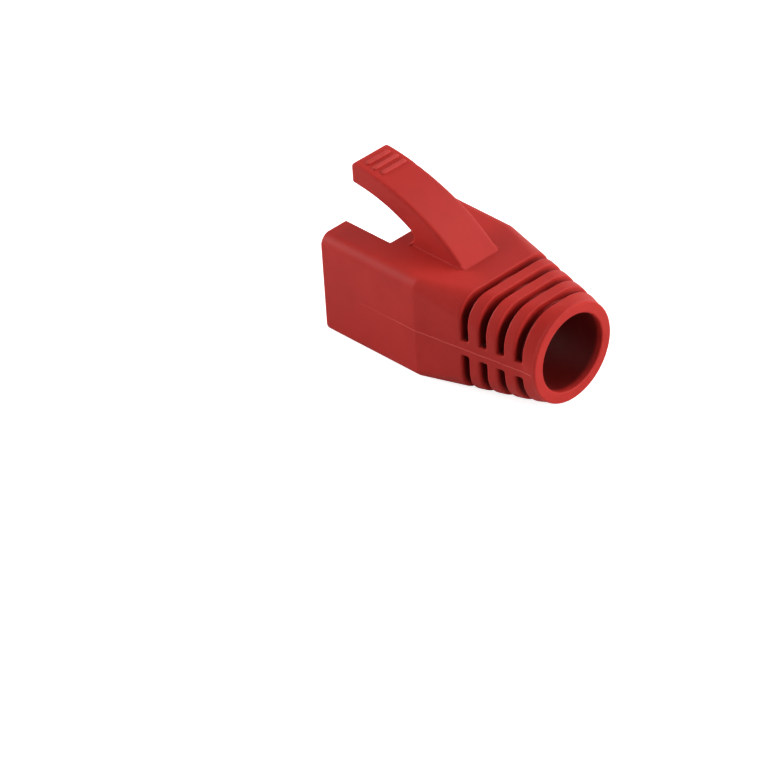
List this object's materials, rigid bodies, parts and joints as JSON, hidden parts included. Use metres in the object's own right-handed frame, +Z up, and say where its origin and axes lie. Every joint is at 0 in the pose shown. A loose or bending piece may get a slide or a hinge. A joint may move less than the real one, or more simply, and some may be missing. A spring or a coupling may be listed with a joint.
{
  "type": "strain relief boot",
  "caption": "Moulded one-piece strain relief boot for a modular cable plug, with a curved latch guard lever, a slotted flexible cable end and a round cable bore.",
  "frame": {"origin": "middle of the boot's footprint, on the surface that its flat underside rests on", "axes": "+Y along the cable axis from the plug's mouth to the cable end, +Z up on the lever's side, +X across"},
  "size_m": [0.014, 0.0266, 0.0173],
  "materials": {
    "red_soft_plastic": "satin matt, moulded soft plastic"
  },
  "bodies": {
    "root": {"boot": "red_soft_plastic"}
  },
  "joints": []
}
